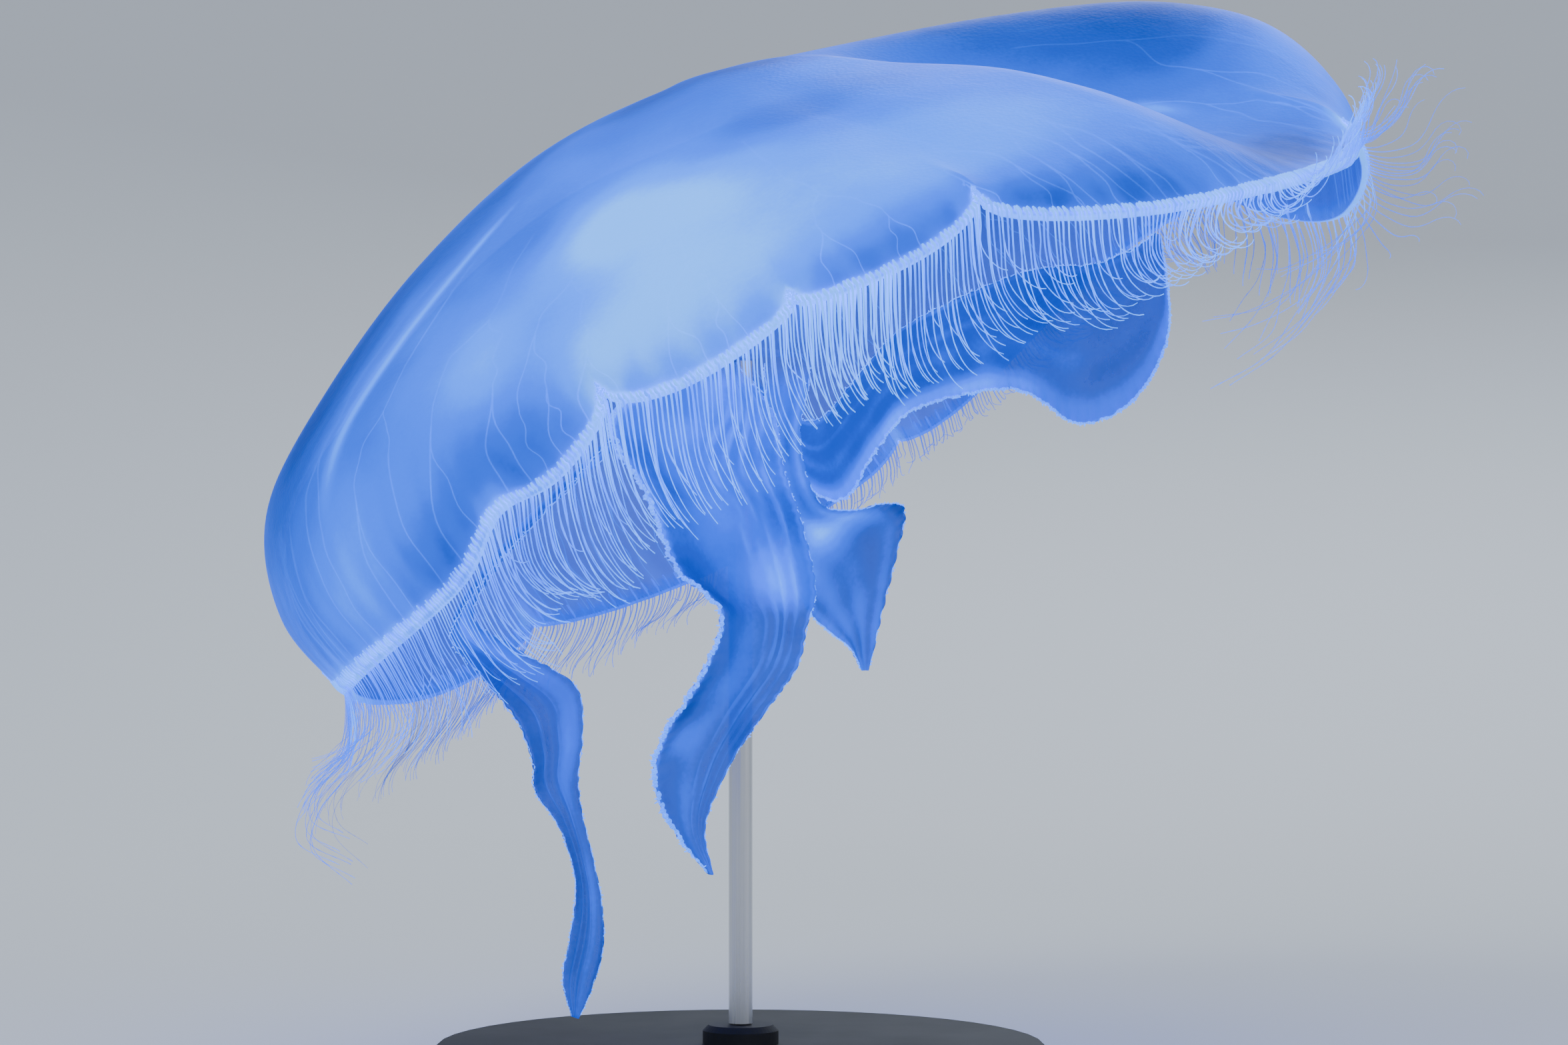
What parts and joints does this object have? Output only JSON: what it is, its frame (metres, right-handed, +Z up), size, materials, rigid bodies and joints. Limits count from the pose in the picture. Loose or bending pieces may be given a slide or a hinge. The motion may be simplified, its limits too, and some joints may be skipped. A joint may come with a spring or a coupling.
{
  "type": "moon jellyfish model",
  "caption": "Still life-size moon jellyfish, swimming with its bell half closed, with a tentacle fringe, oral arms and a plain display stand.",
  "frame": {"origin": "centre of the display stand's underside", "axes": "+Z up; -Y towards the side the jellyfish is looked at from; the bell's crown leans to -X"},
  "size_m": [0.2475, 0.2605, 0.2286],
  "materials": {
    "bell_jelly": "wet, see-through jelly",
    "margin_tissue": "wet, pale tissue",
    "gonad_tissue": "soft, pale tissue",
    "arm_tissue": "wet, see-through tissue",
    "stand_black": "satin black paint",
    "stand_steel": "brushed"
  },
  "bodies": {
    "root": {"bell_crown": "bell_jelly", "bell_lobe_1": "bell_jelly", "bell_lobe_2": "bell_jelly", "bell_lobe_3": "bell_jelly", "bell_lobe_4": "bell_jelly", "bell_lobe_5": "bell_jelly", "bell_lobe_6": "bell_jelly", "bell_lobe_7": "bell_jelly", "bell_lobe_8": "bell_jelly", "fringe_1": "margin_tissue", "fringe_2": "margin_tissue", "fringe_3": "margin_tissue", "fringe_4": "margin_tissue", "fringe_5": "margin_tissue", "fringe_6": "margin_tissue", "fringe_7": "margin_tissue", "fringe_8": "margin_tissue", "rhopalium_1": "margin_tissue", "rhopalium_2": "margin_tissue", "rhopalium_3": "margin_tissue", "rhopalium_4": "margin_tissue", "rhopalium_5": "margin_tissue", "rhopalium_6": "margin_tissue", "rhopalium_7": "margin_tissue", "rhopalium_8": "margin_tissue", "gonad_1": "gonad_tissue", "gonad_2": "gonad_tissue", "gonad_3": "gonad_tissue", "gonad_4": "gonad_tissue", "manubrium": "arm_tissue", "oral_arm_front_upper": "arm_tissue", "oral_arm_front_middle": "arm_tissue", "oral_arm_front_tip": "arm_tissue", "oral_arm_right_upper": "arm_tissue", "oral_arm_right_middle": "arm_tissue", "oral_arm_right_tip": "arm_tissue", "oral_arm_left_upper": "arm_tissue", "oral_arm_left_middle": "arm_tissue", "oral_arm_left_tip": "arm_tissue", "oral_arm_back_upper": "arm_tissue", "oral_arm_back_middle": "arm_tissue", "oral_arm_back_tip": "arm_tissue", "stand_base": "stand_black", "stand_rod": "stand_steel"}
  },
  "joints": []
}
